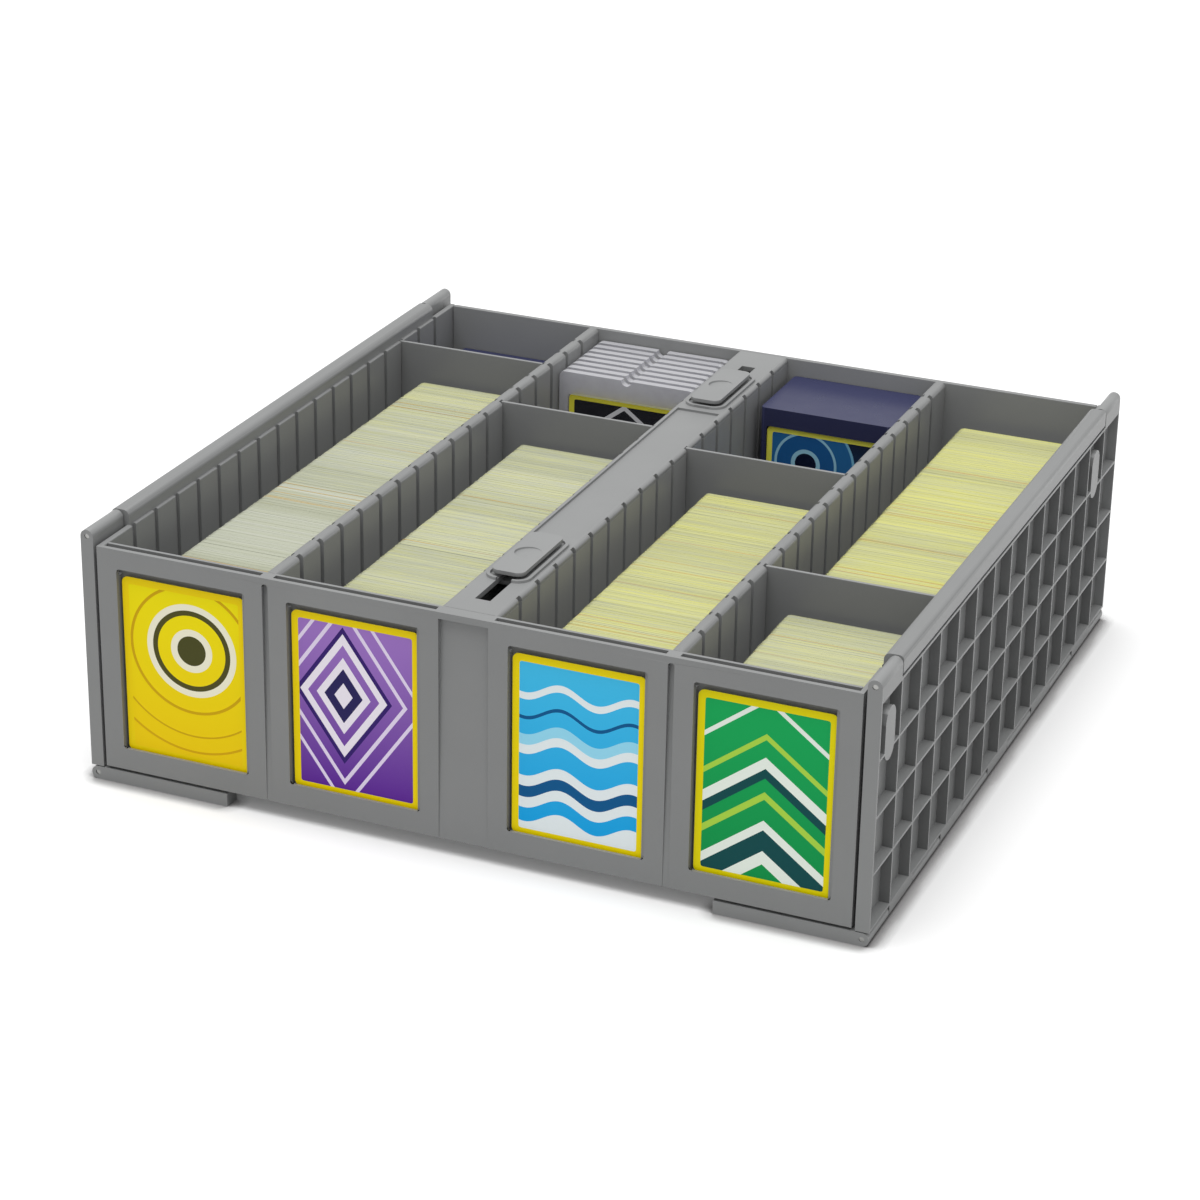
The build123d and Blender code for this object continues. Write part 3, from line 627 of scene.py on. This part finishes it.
def makeCard(name, middle, body, material):
    outline = cardOutline(heldCards["width"] * mm, heldCards["height"] * mm,
                          heldCards["corner"] * mm, heldCards["cornerSteps"])
    ring = len(outline)
    half = heldCards["thickness"] / 2 * mm
    verts = [(x, y, z) for y in (-half, half) for x, z in outline]
    faces = [list(range(ring - 1, -1, -1)), list(range(ring, 2 * ring))]
    faces += [(i, (i + 1) % ring, ring + (i + 1) % ring, ring + i) for i in range(ring)]
    mesh = bpy.data.meshes.new(name)
    mesh.from_pydata(verts, [], faces)
    mesh.materials.append(material)
    card = addPiece(name, mesh, body)
    card.location = middle


def heldPrint(name, design):
    return printedCard(name, design, (0.0, 0.0, 0.0),
                       heldCards["width"], heldCards["height"], heldCards["border"])


holderPrint = heldPrint("offsetPrintedCardHeld", holders["print"])
boxedPrint = heldPrint("offsetPrintedCardBoxed", deckBoxes["print"])
clearVinyl = None
for node, slot in slots.items():
    low, high = nodeBox(node)
    middle = (low + high) / 2
    if slot == "card_holder":
        middle.x += holders["cardShift"] * mm
        middle.z = low.z + (holders["cardLift"] + heldCards["height"] / 2) * mm
        clearVinyl = clearVinyl or rigidVinyl((middle.x, 0.0, middle.z))
        softenEdges(setMaterial(node, clearVinyl), holders["edgeRadius"])
        makeCard(node + "_card", middle, node, holderPrint)
    if slot == "deck_box":
        middle.y = low.y + deckBoxes["wall"] * mm
        middle.z = low.z + (deckBoxes["cardLift"] + heldCards["height"] / 2) * mm
        roof = (high.z - low.z) / mm - heldCards["height"] - deckBoxes["cardLift"]
        upright = roof > deckBoxes["wall"]      # a lower box lies on its side and shows no card
        seeThrough = deckBoxes["seeThrough"] if upright else 0.0
        sheet = tintedPolypropylene("foldedPolypropylene_" + node, middle, seeThrough)
        softenEdges(setMaterial(node, sheet), deckBoxes["edgeRadius"])
        if upright:
            makeCard(node + "_card", middle, node, boxedPrint)
print("holders and boxes done")


# Studio
studio = {
    "white": "#ffffff",
    "sky": 0.60,                            # light on the object, while the camera sees plain white
    "sun": 2.84, "sunFrom": (-0.03, -0.10, 1.0), "sunSpread": 50.0,
    "floorSize": 12.0, "floorBounce": 0.42,
    "paper": "#e4e4e4", "paperLift": 0.11,  # the paper as the camera sees it
    "contactReach": 8.0,                    # mm of floor round the object that gets the most painted shadow
    # colour of the painted contact shadow
    "contact": "#767474",
    "contactFull": 0.6,                     # how open to the sky the floor still is where that painted shadow is full
    "contactSamples": 4,
}


def makeStudio():
    world = bpy.data.worlds.new("softBox")
    scene.world = world
    world.use_nodes = True
    tree = world.node_tree
    tree.nodes.clear()
    path = addNode(tree, "ShaderNodeLightPath")
    seen = addNode(tree, "ShaderNodeMath", {
        0: path.outputs["Is Camera Ray"], 1: path.outputs["Is Transmission Ray"]}, operation="MAXIMUM")
    level = addNode(tree, "ShaderNodeMix", {"Factor": seen.outputs[0], "A": studio["sky"], "B": 1.0})
    sky = addNode(tree, "ShaderNodeBackground", {
        "Color": linear(studio["white"]), "Strength": level.outputs[0]})
    addNode(tree, "ShaderNodeOutputWorld", {"Surface": sky.outputs["Background"]})

    lamp = bpy.data.lights.new("overheadSoftbox", "SUN")
    lamp.energy = studio["sun"]
    lamp.angle = math.radians(studio["sunSpread"])
    holder = bpy.data.objects.new("overheadSoftbox", lamp)
    scene.collection.objects.link(holder)
    holder.rotation_euler = Vector(studio["sunFrom"]).to_track_quat("Z", "Y").to_euler()

    sheet = bpy.data.meshes.new("paperSweep")
    half = studio["floorSize"] / 2
    corners = [(-half, -half, 0), (half, -half, 0), (half, half, 0), (-half, half, 0)]
    sheet.from_pydata(corners, [], [(0, 1, 2, 3)])
    floor = bpy.data.objects.new("paperSweep", sheet)
    floor.location.z = cadLow.z
    scene.collection.objects.link(floor)

    made, tree = blankMaterial("whiteBackdropPaper")    # matt and even, with a painted contact shadow close to the object
    path = addNode(tree, "ShaderNodeLightPath")
    seen = addNode(tree, "ShaderNodeMath", {
        0: path.outputs["Is Camera Ray"], 1: path.outputs["Is Glossy Ray"]}, operation="MAXIMUM")
    seen = addNode(tree, "ShaderNodeMath", {
        0: seen.outputs[0], 1: path.outputs["Is Transmission Ray"]}, operation="MAXIMUM")
    bounce = addNode(tree, "ShaderNodeBsdfDiffuse", {"Color": [studio["floorBounce"]] * 3 + [1.0]})
    paper = addNode(tree, "ShaderNodeBsdfDiffuse", {"Color": linear(studio["paper"])})
    lift = addNode(tree, "ShaderNodeEmission", {
        "Color": linear(studio["white"]), "Strength": studio["paperLift"]})
    white = addNode(tree, "ShaderNodeAddShader", {0: paper.outputs["BSDF"], 1: lift.outputs["Emission"]})
    # painted contact shadow from ambient occlusion, not from the lamps
    free = addNode(tree, "ShaderNodeAmbientOcclusion", {
        "Distance": studio["contactReach"] * mm}, samples=studio["contactSamples"])
    clear = addNode(tree, "ShaderNodeMapRange", {
        "Value": free.outputs["AO"], "From Min": studio["contactFull"], "From Max": 1.0})
    shaded = addNode(tree, "ShaderNodeBsdfDiffuse", {"Color": linear(studio["contact"])})
    white = addNode(tree, "ShaderNodeMixShader", {
        "Fac": clear.outputs["Result"], 1: shaded.outputs["BSDF"], 2: white.outputs["Shader"]})
    both = addNode(tree, "ShaderNodeMixShader", {
        "Fac": seen.outputs[0], 1: bounce.outputs["BSDF"], 2: white.outputs["Shader"]})
    addNode(tree, "ShaderNodeOutputMaterial", {"Surface": both.outputs["Shader"]})
    sheet.materials.append(made)


makeStudio()
print("studio done")
